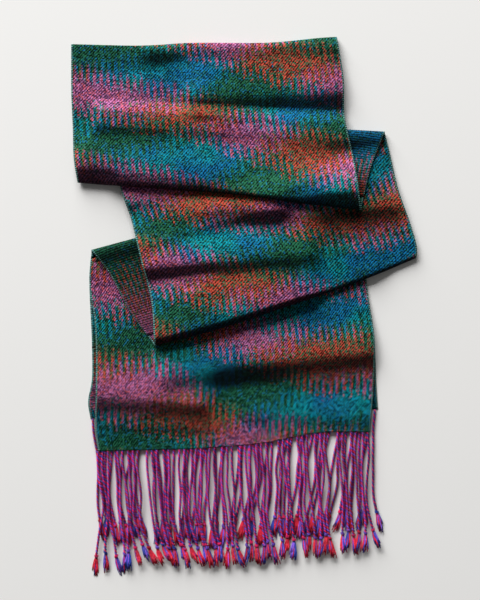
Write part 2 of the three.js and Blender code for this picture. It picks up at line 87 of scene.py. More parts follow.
class ScarfCloth(bpy.types.PropertyGroup):
    """Weave and folds"""

    thickness: length("Cloth thickness", "Thickness of one layer of the cloth", 1.0)
    twill: length("Twill pitch", "Distance along a thread from one twill line to the next", 3.2)
    tooth: length("Tooth width", "Width of one column of the stepped colour change", 3.35)
    grid: length("Grid", "Distance between the points of the finest cloth meshes", 1.7)
    # Each tone has a colour in the light and a deep one, mixed by where a float is up: the deep one is
    # partly the yarn's darker tone and partly painted shade between the floats
    purple: colour("Purple", "Both warps up, in the light", (192, 116, 168))
    purple_deep: colour("Deep purple", "Both warps up, between the floats", (68, 26, 64))
    blue: colour("Blue", "Blue warp up, in the light", (16, 116, 172))
    teal: colour("Teal", "Blue warp up over a greener weft, in the light", (4, 148, 160))
    blue_deep: colour("Deep blue", "Blue warp up, between the floats", (0, 28, 36))
    green: colour("Green", "Weft up, in the light", (34, 102, 72))
    green_deep: colour("Deep green", "Weft up, between the floats", (0, 16, 12))
    coral: colour("Coral", "Red warp up, in the light", (200, 78, 60))
    coral_deep: colour("Rust", "Red warp up, between the floats", (40, 18, 10))
    # Painted shade: the colour that slopes facing down the page, away from the light, are darkened toward
    shade: colour("Depth", "What shows between the floats where the nap is looked into", (6, 8, 12))
    # The pale teal is partly the weft's own colour and partly painted highlight on the beads
    selvedge: colour("Selvedge", "Pale teal beads along the selvedges", (120, 180, 174))


class ScarfFringe(bpy.types.PropertyGroup):
    """Yarn of the fringe"""

    ply: length("Ply thickness", "Thickness of each of the two plies of a strand", 1.76)
    twist: length("Twist", "Length of one turn of the two plies", 5.2)
    fibre: length("Fibre thickness", "Thickness of the loosened yarns of a tuft", 1.0)
    crimson: colour("Crimson", "First yarn", (226, 26, 96))
    violet: colour("Violet", "Second yarn", (112, 72, 186))
    scarlet: colour("Scarlet", "Tufts of the first yarn", (192, 18, 50))
    navy: colour("Navy", "Tufts of the second yarn", (38, 56, 150))


class ScarfStage(bpy.types.PropertyGroup):
    """Floor, light and camera"""

    floor: colour("Floor", "Colour of the plain floor", (236, 235, 233))
    key: bpy.props.FloatProperty(
        name="Key light", description="Power of the window-like light at the upper left",
        default=1060.0, min=0.0, unit="POWER")
    fill: bpy.props.FloatProperty(
        name="Fill", description="Strength of the even light from all round", default=0.11, min=0.0)
    height: length("Camera height", "Height of the camera above the floor", 2000.0)
    view: length("View", "Height of the floor that the picture takes in", 600.0)


# Shape of the folded cloth, in millimetres

LAYER_PITCH = 1.5  # one layer of cloth and the air above it
PAIR = 2 * LAYER_PITCH  # every stretch is two layers
FLOOR_LAYER = 0.5  # middle of a layer that lies on the surface
TUCK_GAP = 0.5  # how far a layer that a fold tucks in rides above the next one
SEAM_GAP = 0.3  # clearance between neighbouring pieces
BULGE = {"top": 5, "first": 6, "second": 5, "third": 6, "fourth": 4.5}  # how far each roll reaches back
FLAP = 6  # how far a piece runs back under its own fold, past the roll
ROLL_STEP = 12  # degrees between the rows of points round a roll
OVERHANG = 4  # cloth that crosses an edge of the stack below it stays up so far past it,
DROP_SHORT = 18  # and is down again so far past it
DROP_LONG = 30
RIDGE_FADE = 26  # length over which a ridge dies away past its ends
CURVE_STEPS = 40  # points on each span of a smooth line
HEM_LIFT = 1.3  # the hem rides on the fringe of the under end
HEM_RISE = (-88, -112)  # it rises between these two values of y
HEM_CUT = 0.4  # the cloth ends so far above the line of its hem

# Where the tucked-in start of a stretch lies, as shares of its length at its left and right selvedge,
# and the shares of its width between which it changes
MIDDLE_START = (0.24, 0.05, 0.55, 0.85)
END_START = (0.045, 0.3, 0.15, 0.6)

# The lower layer of the end: shares of its length at which its hidden part and its open part start, and
# the seam between them
TUCKED_START = 0.03
UNDER_START = 0.58
SEAM_SHARE = 0.0001
LOWER_DOWN = 7.0  # how far down the cloth its hidden part starts

# Shares of the width that a turn shows at its two folds
RIGHT_SHOWS = (0.06, 0.19)
LEFT_SHOWS = (0.06, 0.22)
TURN_COLUMNS = 24

# Distances between the points of mostly hidden meshes
HIDDEN_GRID = 5.0
LOWER_GRID = 4.0
UNDER_GRID = 3.0
HIDDEN_INSET = 0.006  # share of the width by which the hidden layers end inside the selvedges


def smooth_line(*points):
    """A smooth line through a few points, read by the share of its length."""
    knots = np.array(points, float)
    knots = np.vstack([2 * knots[0] - knots[1], knots, 2 * knots[-1] - knots[-2]])
    t = np.linspace(0.0, 1.0, CURVE_STEPS)[:, None]
    pieces = []
    for p0, p1, p2, p3 in zip(knots, knots[1:], knots[2:], knots[3:]):
        d0, d1, d2 = (math.sqrt(np.linalg.norm(b - a)) for a, b in ((p0, p1), (p1, p2), (p2, p3)))
        m1 = ((p1 - p0) / d0 - (p2 - p0) / (d0 + d1) + (p2 - p1) / d1) * d1
        m2 = ((p2 - p1) / d1 - (p3 - p1) / (d1 + d2) + (p3 - p2) / d2) * d1
        pieces.append((2 * t**3 - 3 * t**2 + 1) * p1 + (t**3 - 2 * t**2 + t) * m1
                      + (3 * t**2 - 2 * t**3) * p2 + (t**3 - t**2) * m2)
    line = np.vstack(pieces)
    run = np.concatenate([[0.0], np.cumsum(np.linalg.norm(np.diff(line, axis=0), axis=1))])

    def read(share):
        at = np.clip(share, 0.0, 1.0) * run[-1]
        return np.stack([np.interp(at, run, line[:, 0]), np.interp(at, run, line[:, 1])], axis=-1)

    return read


FOLDS = {
    "top": smooth_line((-172.8, 262.6), (-98, 261.2), (-55, 263.6), (26, 264), (76.4, 268.8),
                       (92.5, 269.8)),
    "first": smooth_line((-166, 124), (-112, 119.5), (-4, 111), (44.5, 104), (115.9, 96.2)),
    "second": smooth_line((-136, 190.5), (104.4, 177), (140.3, 175)),
    "third": smooth_line((-89, -38.5), (-38, -25.7), (44.5, 1), (123.3, 28.8), (171.8, 49)),
    "fourth": smooth_line((-152.5, 57), (-110, 68.5), (121.3, 131)),
    "hem": smooth_line((-145.5, -144.5), (-32, -141), (24, -135.6), (72.8, -126.3), (125.5, -125.3)),
    "under_hem": smooth_line((-153.5, -112), (-20, -110), (133.7, -102.5)),
}


class Stretch:
    """A length of cloth between two folds and two selvedges. Shares run across it and along it."""

    def __init__(self, start, end, left, right):
        self.start, self.end = FOLDS[start], FOLDS[end]
        self.left, self.right = smooth_line(*left), smooth_line(*right)
        self.corners = [self.start(0.0), self.start(1.0), self.end(1.0), self.end(0.0)]
        ring = self.corners + self.corners[:1]
        self.turn = np.sign(sum(a[0] * b[1] - b[0] * a[1] for a, b in zip(ring, ring[1:])))
        self.length = np.linalg.norm(self.place(0.5, 1.0) - self.place(0.5, 0.0))
        self.width = np.linalg.norm(self.place(1.0, 0.5) - self.place(0.0, 0.5))

    def place(self, across, along):
        across, along = np.broadcast_arrays(np.asarray(across, float), np.asarray(along, float))
        a, b = across[..., None], along[..., None]
        point = self.start(across) * (1 - b) + self.end(across) * b
        point = point + self.left(along) * (1 - a) + self.right(along) * a
        c0, c1, c2, c3 = self.corners
        return point - c0 * (1 - a) * (1 - b) - c1 * a * (1 - b) - c2 * a * b - c3 * (1 - a) * b

    def outside(self, x, y):
        """How far a point lies outside the stretch, below zero inside it."""
        worst = np.full(np.shape(x), -np.inf)
        for corner, following in zip(self.corners, self.corners[1:] + self.corners[:1]):
            dx, dy = following - corner
            left = (dx * (y - corner[1]) - dy * (x - corner[0])) / math.hypot(dx, dy)
            worst = np.maximum(worst, -self.turn * left)
        return worst

    def covers(self, drop, x, y):
        return 1.0 - ease(OVERHANG, drop, self.outside(x, y))


TOP = Stretch(
    "top", "first",
    [(-172.8, 262.6), (-172.5, 215.3), (-171.1, 180.8), (-169.7, 150.7), (-166, 124)],
    [(92.5, 269.8), (98.7, 229.6), (100.5, 186.6), (108.7, 149.3), (115.9, 96.2)])
RIGHT_TURN = Stretch(
    "first", "second",
    [(-166, 124), (-150, 159), (-136, 190.5)],
    [(115.9, 96.2), (125, 135.3), (140.3, 175)])
MIDDLE = Stretch(
    "second", "third",
    [(-136, 190.5), (-123.7, 119.9), (-112.3, 86.1), (-103.2, 49), (-92.2, 5.3), (-89, -38.5)],
    [(140.3, 175), (145.5, 153.5), (154.2, 115.2), (165.6, 83.7), (172.3, 58.8), (171.8, 49)])
LEFT_TURN = Stretch(
    "third", "fourth",
    [(-89, -38.5), (-113.5, -5), (-135.3, 35.2), (-152.5, 57)],
    [(171.8, 49), (148, 92), (121.3, 131)])
END = Stretch(
    "fourth", "hem",
    [(-152.5, 57), (-154.6, 24), (-149, -18), (-147.7, -84), (-148.7, -119), (-145.5, -144.5)],
    [(121.3, 131), (122, 28.2), (129.9, -30.6), (129.6, -73), (125.5, -125.3)])
UNDER = Stretch(
    "fourth", "under_hem",
    [(-152.5, 57), (-154.6, 24), (-152.3, -33), (-152.3, -73), (-156, -95), (-153.5, -112)],
    [(121.3, 131), (122, 28.2), (129.9, -30.6), (132.6, -86.2), (133.7, -102.5)])

# A ridge falls more gently up the page than down it, as shares of its half width
GENTLE_SIDE = 1.6
STEEP_SIDE = 1.0

# Stretches from the surface up; a ridge lifts its stretch and all that lie on it
ORDER = [END, LEFT_TURN, MIDDLE, RIGHT_TURN, TOP]

# x1, y1, x2, y2, half width, height, stretch: broad ridges first, then small creases and troughs
RIDGES = [
    (-90, 257, 94, 262, 13, 4, TOP),
    (-172, 204, -45, 208, 17, 2.5, TOP),
    (-45, 211, 100, 218, 20, 7.5, TOP),
    (-138, 184, 140, 169, 12, 3, RIGHT_TURN),
    (-165, 152, 70, 146, 19, 2, TOP),
    (-162, 141, 112, 115, 16, 6, TOP),
    (-117, 106, 30, 101, 15, 5, MIDDLE),
    (-108, 40, 60, 57, 16, 7.5, MIDDLE),
    (20, 92, 150, 104, 13, 3.5, MIDDLE),
    (-96, -26, 60, 14, 25, 9, MIDDLE),
    (-150, 52, 121, 124, 9, 2, LEFT_TURN),
    (-75, -62, 132, -41, 18, 6, END),
    (-150, -86, -44, -92, 18, 6.5, END),
    (10, -104, 130, -107, 13, 1.5, END),
]
CREASES = [
    (-60, 236, 70, 241, 6, 0.8, TOP),
    (-150, 233, -95, 236, 5, -0.5, TOP),
    (-60, 188, 30, 184, 8, -0.9, TOP),
    (-140, 180, -90, 178, 7, 0.5, TOP),
    (10, 158, 96, 162, 7, 0.7, TOP),
    (-95, 72, -30, 70, 7, -0.8, MIDDLE),
    (-98, 26, -40, 34, 6, -1.0, MIDDLE),
    (60, 60, 140, 72, 7, -0.7, MIDDLE),
    (-80, 8, 20, 26, 6, 0.6, MIDDLE),
    (-140, -36, -100, -32, 8, 0.8, END),
    (-60, -84, 30, -78, 7, -0.9, END),
    (40, -76, 125, -72, 8, 0.7, END),
    (-130, -118, -40, -120, 6, 0.7, END),
    (60, -8, 120, 0, 7, 0.6, END),
]


def ridges(part, x, y, table):
    height = np.zeros(np.shape(x))
    for x1, y1, x2, y2, width, rise, lifted in table:
        if ORDER.index(lifted) > ORDER.index(part):
            continue
        dx, dy = x2 - x1, y2 - y1
        run = math.hypot(dx, dy)
        along = ((x - x1) * dx + (y - y1) * dy) / run
        across = ((y - y1) * dx - (x - x1) * dy) / run
        past = np.maximum(np.maximum(-along, along - run), 0.0)
        side = width * np.where(across > 0, GENTLE_SIDE, STEEP_SIDE)
        height = height + rise * (1 - ease(0, RIDGE_FADE, past)) * np.exp(-((across / side) ** 2))
    return height


def lift(part, x, y):
    """What the layers below add to the upper layer of a stretch."""
    if part is END:
        return HEM_LIFT * ease(*HEM_RISE, y)
    stack = END.covers(DROP_LONG, x, y)
    if part is not LEFT_TURN:
        stack = stack + LEFT_TURN.covers(DROP_LONG, x, y)
    if part in (RIGHT_TURN, TOP):
        stack = stack + MIDDLE.covers(DROP_SHORT, x, y)
    if part is TOP:
        stack = stack + RIGHT_TURN.covers(DROP_SHORT, x, y)
    return PAIR * stack


def upper(part, below=0.0):
    """The height of a stretch's upper layer, or of a layer so far below it."""
    def level(x, y):
        height = FLOOR_LAYER + LAYER_PITCH + lift(part, x, y) + ridges(part, x, y, RIDGES + CREASES)
        return np.maximum(height - below, FLOOR_LAYER)
    return level


def on_floor(x, y):
    return np.full(np.shape(x), FLOOR_LAYER)


def cloth_rows(part, level, across, start, end, step):
    """Rows of points over a stretch; start and end are shares along it, or one for each column."""
    start, end = np.broadcast_to(start, across.shape), np.broadcast_to(end, across.shape)
    count = max(2, round(float(np.max(end - start)) * part.length / step))
    rows = []
    for share in np.linspace(0.0, 1.0, count + 1):
        along = mix(start, end, share)
        xy = part.place(across, along)
        rows.append(np.column_stack([xy, level(xy[:, 0], xy[:, 1])]))
    return rows


def roll_rows(upper_part, upper_level, lower_part, lower_level, across, bulge):
    """Rows that carry the cloth round a fold and a little way back below it."""
    def place(part, share, under):
        xy = part.place(across, share)
        top, bottom = upper_level(xy[:, 0], xy[:, 1]), lower_level(xy[:, 0], xy[:, 1])
        return np.column_stack([xy, mix(top, bottom, under)])

    rows = []
    for degrees in range(ROLL_STEP, 181, ROLL_STEP):
        angle = math.radians(degrees)
        reach = FLOOR_LAYER + bulge * (1 - math.sin(angle))
        under = (1 - math.cos(angle)) / 2
        if degrees <= 90:
            share = reach / upper_part.length
            rows.append(place(upper_part, share if upper_part is lower_part else 1 - share, under))
        else:
            rows.append(place(lower_part, reach / lower_part.length, under))
    rows.append(place(lower_part, (bulge + FLAP) / lower_part.length, 1.0))
    return rows


# Where each colour of warp comes up: the share across the cloth, how far down the stretch the
# middle of a block lies there in millimetres, the length of the repeat, and the block's share of it
BLUE_BLOCKS = {
    "top": [(0, 55, 94, 0.62), (0.27, 38, 90, 0.58), (0.475, 27, 88, 0.58), (0.67, -20, 106, 0.4),
            (0.84, -30, 95, 0.44), (1, -41, 88, 0.42)],
    "middle": [(0, 175, 88, 0.5), (0.3, 120, 88, 0.54), (0.44, 112, 78, 0.42), (0.65, 65, 88, 0.5),
               (0.8, 46, 88, 0.5), (1, 30, 88, 0.46)],
    "end": [(0, 154, 104, 0.56), (0.2, 148, 98, 0.44), (0.41, 148, 96, 0.5),
            (0.56, 128, 94, 0.42), (0.8, 122, 94, 0.44), (1, 124, 97, 0.48)],
    "right_turn": [(0, 40, 120, 0.6), (1, 72, 120, 0.6)],
    "left_turn": [(0, 0, 190, 0.5), (1, -20, 190, 0.5)],
}
RED_BLOCKS = {
    "top": [(0, 46, 86, 0.46), (0.3, 60, 86, 0.4), (0.6, 88, 88, 0.42), (1, 130, 88, 0.5)],
    "middle": [(0, 152, 88, 0.56), (0.3, 168, 88, 0.48), (0.55, 178, 88, 0.36), (0.8, 190, 88, 0.34),
               (1, 162, 88, 0.6)],
    "end": [(0, 134, 103, 0.52), (0.2, 157, 102, 0.56), (0.3, 174, 102, 0.54), (0.4, 200, 101, 0.44),
            (0.5, 220, 100, 0.38), (0.625, 242, 99, 0.4), (0.78, 264, 98, 0.5), (1, 284, 97, 0.46)],
    "right_turn": [(0, 0, 120, 0.48), (1, 10, 120, 0.48)],
    "left_turn": [(0, 26, 190, 0.48), (1, 0, 190, 0.48)],
}

# Painted shade and light: slopes that face down the page, away from the light, are darkened in the colour,
# and those that face up it are lightened; the slope at which that shows fully
PAINTED_SHADE_FULL_SLOPE = 0.28

# Layers of a cloth mesh that its material reads, each with two values
CLOTH_UV = "cloth"  # millimetres across and down the cloth
TURNS_UV = "turns"  # repeats from the middle of a block of blue and of red warp
REACH_UV = "reach"  # half the share of such a block
EDGE_AND_PAINTED_SHADE_UV = "edge"  # millimetres from the selvedge, and the painted shading of the slope: above 0 painted shade where it faces down the page, below 0 painted light where it faces up it


def phase(blocks, across, down):
    """How many repeats a point lies from the middle of a block, and half the share of its block."""
    shares, *rest = (np.array(column, float) for column in zip(*blocks))
    middle, repeat, part = (np.interp(across, shares, column) for column in rest)
    return (down - middle) / repeat, part / 2


def span(part, across):
    """The length of a stretch at each column."""
    return np.linalg.norm(part.place(across, 1.0) - part.place(across, 0.0), axis=-1)


def columns(width, step):
    return np.linspace(0.0, 1.0, round(width / step) + 1)


def cloth_piece(name, part, rows, across, start, pattern, material, thickness, head=0):
    """A sheet of cloth on rows of points. Its pattern is measured in plan, and along the cloth round a
    fold. start is how far down the cloth the first row after the head lies, and pattern names the
    stretch in the tables of blocks."""
    points = np.array(rows)
    step = np.diff(points, axis=0)
    plan, full = np.linalg.norm(step[..., :2], axis=2), np.linalg.norm(step, axis=2)
    steps = np.where(np.abs(step[..., 2]) > plan, full, plan)
    down = np.vstack([np.zeros(len(across)), np.cumsum(steps, axis=0)])
    down += start - down[head]
    nrows, ncols = points.shape[:2]

    bm = bmesh.new()
    bmesh.ops.create_grid(bm, x_segments=ncols - 1, y_segments=nrows - 1, size=1.0)
    cloth, turns, reach, edge = (
        bm.loops.layers.uv.new(layer) for layer in (CLOTH_UV, TURNS_UV, REACH_UV, EDGE_AND_PAINTED_SHADE_UV))
    u = across * part.width
    inside = np.minimum(across, 1 - across) * part.width
    (blue, blue_reach), (red, red_reach) = (
        phase(table[pattern], across, down) for table in (BLUE_BLOCKS, RED_BLOCKS))
    index = {}
    for vert in bm.verts:
        column = round((vert.co.x + 1) / 2 * (ncols - 1))
        row = round((vert.co.y + 1) / 2 * (nrows - 1))
        index[vert.index] = (row, column)
        vert.co = Vector(points[row, column]) * MM
    bmesh.ops.recalc_face_normals(bm, faces=bm.faces)
    if sum(face.normal.z * face.calc_area() for face in bm.faces) < 0:
        bmesh.ops.reverse_faces(bm, faces=bm.faces)
    bm.normal_update()
    for face in bm.faces:
        for loop in face.loops:
            row, column = index[loop.vert.index]
            loop[cloth].uv = (u[column], down[row, column])
            loop[turns].uv = (blue[row, column], red[row, column])
            loop[reach].uv = (blue_reach[column], red_reach[column])
            # Painted shading: how far the slope faces down the page, away from the light (above 0), or up
            # toward it (below 0)
            painted_slope_shading = min(max(-loop.vert.normal.y / PAINTED_SHADE_FULL_SLOPE, -1.0), 1.0)
            loop[edge].uv = (inside[column], painted_slope_shading)
    piece = finish(bm, name, material)
    wall = piece.modifiers.new("wall", "SOLIDIFY")
    wall.thickness, wall.offset, wall.use_even_offset = thickness, 0.0, True
    return piece


def finish(bm, name, *materials):
    """Makes the object of a bmesh."""
    mesh = bpy.data.meshes.new(name)
    for face in bm.faces:
        face.smooth = True
    bm.to_mesh(mesh)
    bm.free()
    for material in materials:
        mesh.materials.append(material)
    piece = bpy.data.objects.new(name, mesh)
    bpy.context.scene.collection.objects.link(piece)
    return piece


# Materials

class Value:
    """A socket of a node tree; sums of such values add the Math nodes that work them out."""

    def __init__(self, shade, socket):
        self.shade, self.socket = shade, socket

    def math(self, operation, *others):
        return self.shade.node("ShaderNodeMath", {"operation": operation},
                               dict(enumerate([self, *others])))

    def __add__(self, other):
        return self.math("ADD", other)

    def __mul__(self, other):
        return self.math("MULTIPLY", other)

    def __sub__(self, other):
        return self.math("SUBTRACT", other)

    def __truediv__(self, other):
        return self.math("DIVIDE", other)

    def __neg__(self):
        return self * -1.0

    def __rsub__(self, other):
        return -self + other

    __radd__ = __add__
    __rmul__ = __mul__

    def floor(self):
        return self.math("FLOOR")

    def fraction(self):
        return self.math("FRACT")

    def sine(self):
        return self.math("SINE")

    def size(self):
        return self.math("ABSOLUTE")

    def lines(self, pitch):
        """Soft lines so far apart, from 0 to 1."""
        return (self * (math.tau / pitch)).sine() * 0.5 + 0.5

    def between(self, low, high):
        """0 at low and 1 at high, eased."""
        return self.shade.node("ShaderNodeMapRange", {"interpolation_type": "SMOOTHSTEP", "clamp": True},
                               {"Value": self, "From Min": low, "From Max": high})


class Shade:
    """A material whose nodes are made by one method."""

    def __init__(self, name):
        self.material = bpy.data.materials.new(name)
        self.material.use_nodes = True
        self.tree = self.material.node_tree
        self.bsdf = self.tree.nodes["Principled BSDF"]

    def node(self, kind, settings, sockets, output=0):
        made = self.tree.nodes.new(kind)
        for key, value in settings.items():
            setattr(made, key, value)
        for key, value in sockets.items():
            self.feed(made.inputs[key], value)
        return Value(self, made.outputs[output])

    def feed(self, socket, value):
        if isinstance(value, Value):
            self.tree.links.new(value.socket, socket)
        elif socket.type == "RGBA":
            socket.default_value = (*value[:3], 1.0)
        else:
            socket.default_value = value

    def surface(self, **sockets):
        for key, value in sockets.items():
            self.feed(self.bsdf.inputs[key.replace("_", " ")], value)
        return self.material

    def mix(self, share, low, high):
        return self.node("ShaderNodeMix", {"data_type": "RGBA"}, {0: share, 6: low, 7: high}, output=2)

    def uv(self, name):
        """The two values of a layer of the mesh."""
        place = self.node("ShaderNodeUVMap", {"uv_map": name}, {})
        parts = self.node("ShaderNodeSeparateXYZ", {}, {"Vector": place})
        return parts, Value(self, parts.socket.node.outputs["Y"])

    def grain(self, x, y, z=0.0):
        """A different value from 0 to 1 for each whole x and y; each z has values of its own."""
        at = self.node("ShaderNodeCombineXYZ", {}, {0: x, 1: y, 2: z})
        return self.node("ShaderNodeTexWhiteNoise", {"noise_dimensions": "3D"}, {"Vector": at})

    def cloud(self, x, y, scale):
        """A value that wanders slowly about 0.5."""
        at = self.node("ShaderNodeCombineXYZ", {}, {0: x, 1: y, 2: 0.0})
        return self.node("ShaderNodeTexNoise", {}, {"Vector": at, "Scale": scale, "Detail": 2.0})

    def bump(self, height, distance, strength):
        return self.node("ShaderNodeBump", {}, {"Height": height, "Distance": distance,
                                                "Strength": strength})


SPECK = 1.3  # millimetres across one speck of the weave, where a float comes up or not
BACK_PITCH = 2.4  # from rib to rib on the back
BEAD_PITCH = 1.9  # from bead to bead of the selvedge
BORDER = (1.1, 1.7)  # where the selvedge ends, inside the edge
TOOTH_STEP = 0.16  # odd columns change over so many repeats before even ones,
TOOTH_SPREAD = 0.06  # give or take so much,
SPECK_SPREAD = 0.15  # and each speck so much,
WANDER_SPREAD = 0.16  # and whole patches so much
CHANGE = 0.03  # half the length of a change of colour, in repeats
PAINTED_SHADE_STRENGTH = 0.88  # how far the painted shade on slopes facing down the page darkens the colour
OTHER_DRAW, RED_DRAW = 7.0, 3.0  # where else the grain is drawn from


def block(turns):
    """The distance from the middle of the nearest block, in turns, 0 to 0.5."""
    return ((turns + 0.5).fraction() - 0.5).size()


def warp_up(shade, turns, reach, column, draw, jitter):
    """1 where a warp is up, in columns that change over in steps like teeth."""
    odd = (column * 0.5).fraction() * 2.0
    step = (odd - 0.5) * TOOTH_STEP + (shade.grain(column, draw) - 0.5) * TOOTH_SPREAD
    return 1.0 - (block(turns + step + jitter) - reach).between(-CHANGE, CHANGE)


def woven(name, s, reverse):
    """Twill of two warps, blue and red, over a green weft. The back is darker, and its floats lie along
    the weft."""
    shade = Shade(name)
    u, v = shade.uv(CLOTH_UV)
    blue_turns, red_turns = shade.uv(TURNS_UV)
    blue_reach, red_reach = shade.uv(REACH_UV)
    edge, painted_slope_shading = shade.uv(EDGE_AND_PAINTED_SHADE_UV)

    tooth = s.tooth / MM
    cell = (u / SPECK).floor(), (v / SPECK).floor()
    speck, speck_other = shade.grain(*cell), shade.grain(*cell, OTHER_DRAW)
    wander = shade.cloud(u, v, 0.018)
    jitter = (speck_other - 0.5) * SPECK_SPREAD + (wander - 0.5) * WANDER_SPREAD
    column = (u / tooth).floor()
    blue_up = warp_up(shade, blue_turns, blue_reach, column, 0.0, jitter)
    red_up = warp_up(shade, red_turns, red_reach, (u / tooth + 0.5).floor(), RED_DRAW, jitter)

    lines = v.lines(BACK_PITCH) if reverse else (u + v).lines(s.twill / MM)
    # Painted light: slopes facing up the page, toward the light, show more of the colours in the light
    painted_slope_light = (-painted_slope_shading).between(0.0, 1.0) * 0.1
    float_up = (lines * 0.6 + speck * 0.8 + painted_slope_light).between(0.4, 1.15)

    # Each tone goes from its deep copy, with painted shade between the floats, to its copy in the light
    # where a float is up
    purple = shade.mix(float_up, s.purple_deep, s.purple)
    tinted = shade.mix((speck_other - 0.55).between(0.0, 0.3) * 0.6, purple, s.blue_deep)
    purple = shade.mix((0.3 - speck_other).between(0.0, 0.2) * 0.55, tinted, s.coral)
    blue = shade.mix(float_up, s.blue_deep, shade.mix(wander.between(0.4, 0.6), s.blue, s.teal))
    blue = shade.mix((speck_other - 0.7).between(0.0, 0.2) * 0.6, blue, s.green)
    green = shade.mix(float_up, s.green_deep, s.green)
    green = shade.mix((speck_other - 0.86).between(0.0, 0.1) * 0.5, green, s.blue)
    coral = shade.mix(float_up, s.coral_deep, s.coral)
    coral = shade.mix((speck_other - 0.62).between(0.0, 0.2) * 0.8, coral, s.green)

    face = shade.mix(red_up, shade.mix(blue_up, green, blue), shade.mix(blue_up, coral, purple))
    # Darker toward the deep green in soft random patches
    dark_patches = (speck * 0.25 + wander * 0.5 + 0.4).between(0.1, 0.9)
    face = shade.mix((1.0 - dark_patches) * 0.3, face, s.green_deep)
    if reverse:
        face = shade.mix(0.5, face, s.green_deep)
    # Painted shade: slopes facing down the page, away from the light, darken toward the shade colour
    face = shade.mix(painted_slope_shading.between(0.0, 1.0) * PAINTED_SHADE_STRENGTH, face, s.shade)

    # The selvedge: beads of the weft's turns on deep green, their pale tops partly the weft's colour and
    # partly painted highlights
    bead = v.lines(BEAD_PITCH) * (speck_other * 0.6 + 0.4)
    border = 1.0 - edge.between(*BORDER)
    face = shade.mix(border, face, shade.mix(bead, s.green_deep, s.selvedge))

    relief = lines * 0.55 + speck * 0.35 + (column * 0.5).fraction() * 0.3
    normal = shade.bump(relief, 0.45 * MM, 0.9)
    return shade.surface(Base_Color=face, Roughness=0.75 - float_up * 0.12, Normal=normal,
                         Sheen_Weight=0.01, Sheen_Roughness=0.4, Specular_IOR_Level=0.05)


def yarn(name, base, light, dark):
    """Yarn in patches of two tones, with a fine fibre texture whose lighter flecks are painted highlights.
    """
    shade = Shade(name)
    place = shade.node("ShaderNodeTexCoord", {}, {}, output="Object")
    fibre_glints = shade.node("ShaderNodeTexNoise", {}, {"Vector": place, "Scale": 900.0, "Detail": 3.0})
    patches = shade.node("ShaderNodeTexNoise", {}, {"Vector": place, "Scale": 120.0, "Detail": 1.0})
    tone = shade.mix(patches.between(0.35, 0.65), dark, base)
    # Painted highlights: lighter flecks of the fine fibre texture, as if catching the light
    tone = shade.mix(fibre_glints.between(0.5, 0.72) * 0.55, tone, light)
    return shade.surface(Base_Color=tone, Roughness=0.6, Normal=shade.bump(fibre_glints, 0.3 * MM, 0.7),
                         Sheen_Weight=0.02, Sheen_Roughness=0.4, Specular_IOR_Level=0.12)


def material(name):
    """A material by name, made at its first use. The yarns have the names of their settings."""
    found = bpy.data.materials.get(name)
    if found:
        return found
    cloth, fringe = bpy.context.scene.scarf_cloth, bpy.context.scene.scarf_fringe
    if name == "twill":
        return woven(name, cloth, reverse=False)
    if name == "twill_back":
        return woven(name, cloth, reverse=True)
    base = tuple(getattr(fringe, name))
    # The lighter copy of a yarn's colour is its painted highlight; the darker copy is its own deeper tone
    return yarn(name, base, tuple(min(1.0, c * 1.6 + 0.10) for c in base), tuple(c * 0.55 for c in base))


def settle(piece, node):
    """Puts a piece in place of its solid."""
    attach(piece, "root")
    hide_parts(node)


def tucked_start(across, left, right, begin, end):
    """Where the tucked-in start of a stretch lies, as a share of it, over its columns."""
    return mix(left, right, ease(begin, end, across))


class SCARF_OT_stretches(bpy.types.Operator):
    """Lay the three stretches of cloth that show, with the rolls of their folds"""

    bl_idname = "scarf.stretches"
    bl_label = "Stretches"

    def execute(self, context):
        s = context.scene.scarf_cloth
        step, wall = s.grid / MM, s.thickness
        twill = material("twill")

        across = columns(TOP.width, step)
        level = upper(TOP)
        begin = (FLOOR_LAYER + BULGE["top"]) / TOP.length
        end = 1 - (FLOOR_LAYER + BULGE["first"]) / TOP.length
        head = roll_rows(TOP, level, TOP, on_floor, across, BULGE["top"])[::-1]
        rows = [*head, *cloth_rows(TOP, level, across, begin, end, step),
                *roll_rows(TOP, level, RIGHT_TURN, upper(RIGHT_TURN, LAYER_PITCH - TUCK_GAP), across,
                           BULGE["first"])]
        piece = cloth_piece("top_twill", TOP, rows, across, BULGE["top"], "top", twill, wall, len(head))
        settle(piece, "top_stretch")

        across = columns(MIDDLE.width, step)
        level = upper(MIDDLE)
        end = 1 - (FLOOR_LAYER + BULGE["third"]) / MIDDLE.length
        begin = tucked_start(across, *MIDDLE_START)
        rows = [*cloth_rows(MIDDLE, level, across, begin, end, step),
                *roll_rows(MIDDLE, level, LEFT_TURN, upper(LEFT_TURN, LAYER_PITCH - TUCK_GAP), across,
                           BULGE["third"])]
        start = begin * span(MIDDLE, across)
        piece = cloth_piece("middle_twill", MIDDLE, rows, across, start, "middle", twill, wall)
        settle(piece, "middle_stretch")

        across = columns(END.width, step)
        begin = tucked_start(across, *END_START)
        rows = cloth_rows(END, upper(END), across, begin, 1 - HEM_CUT / END.length, step)
        start = begin * span(END, across)
        piece = cloth_piece("end_twill", END, rows, across, start, "end", twill, wall)
        settle(piece, "end_stretch")
        return {"FINISHED"}


def edge_strip(wide, rightmost):
    """Shares across the cloth of a strip so wide along its left or its right selvedge."""
    strip = wide * np.linspace(0.0, 1.0, TURN_COLUMNS)
    return 1 - strip[::-1] if rightmost else strip


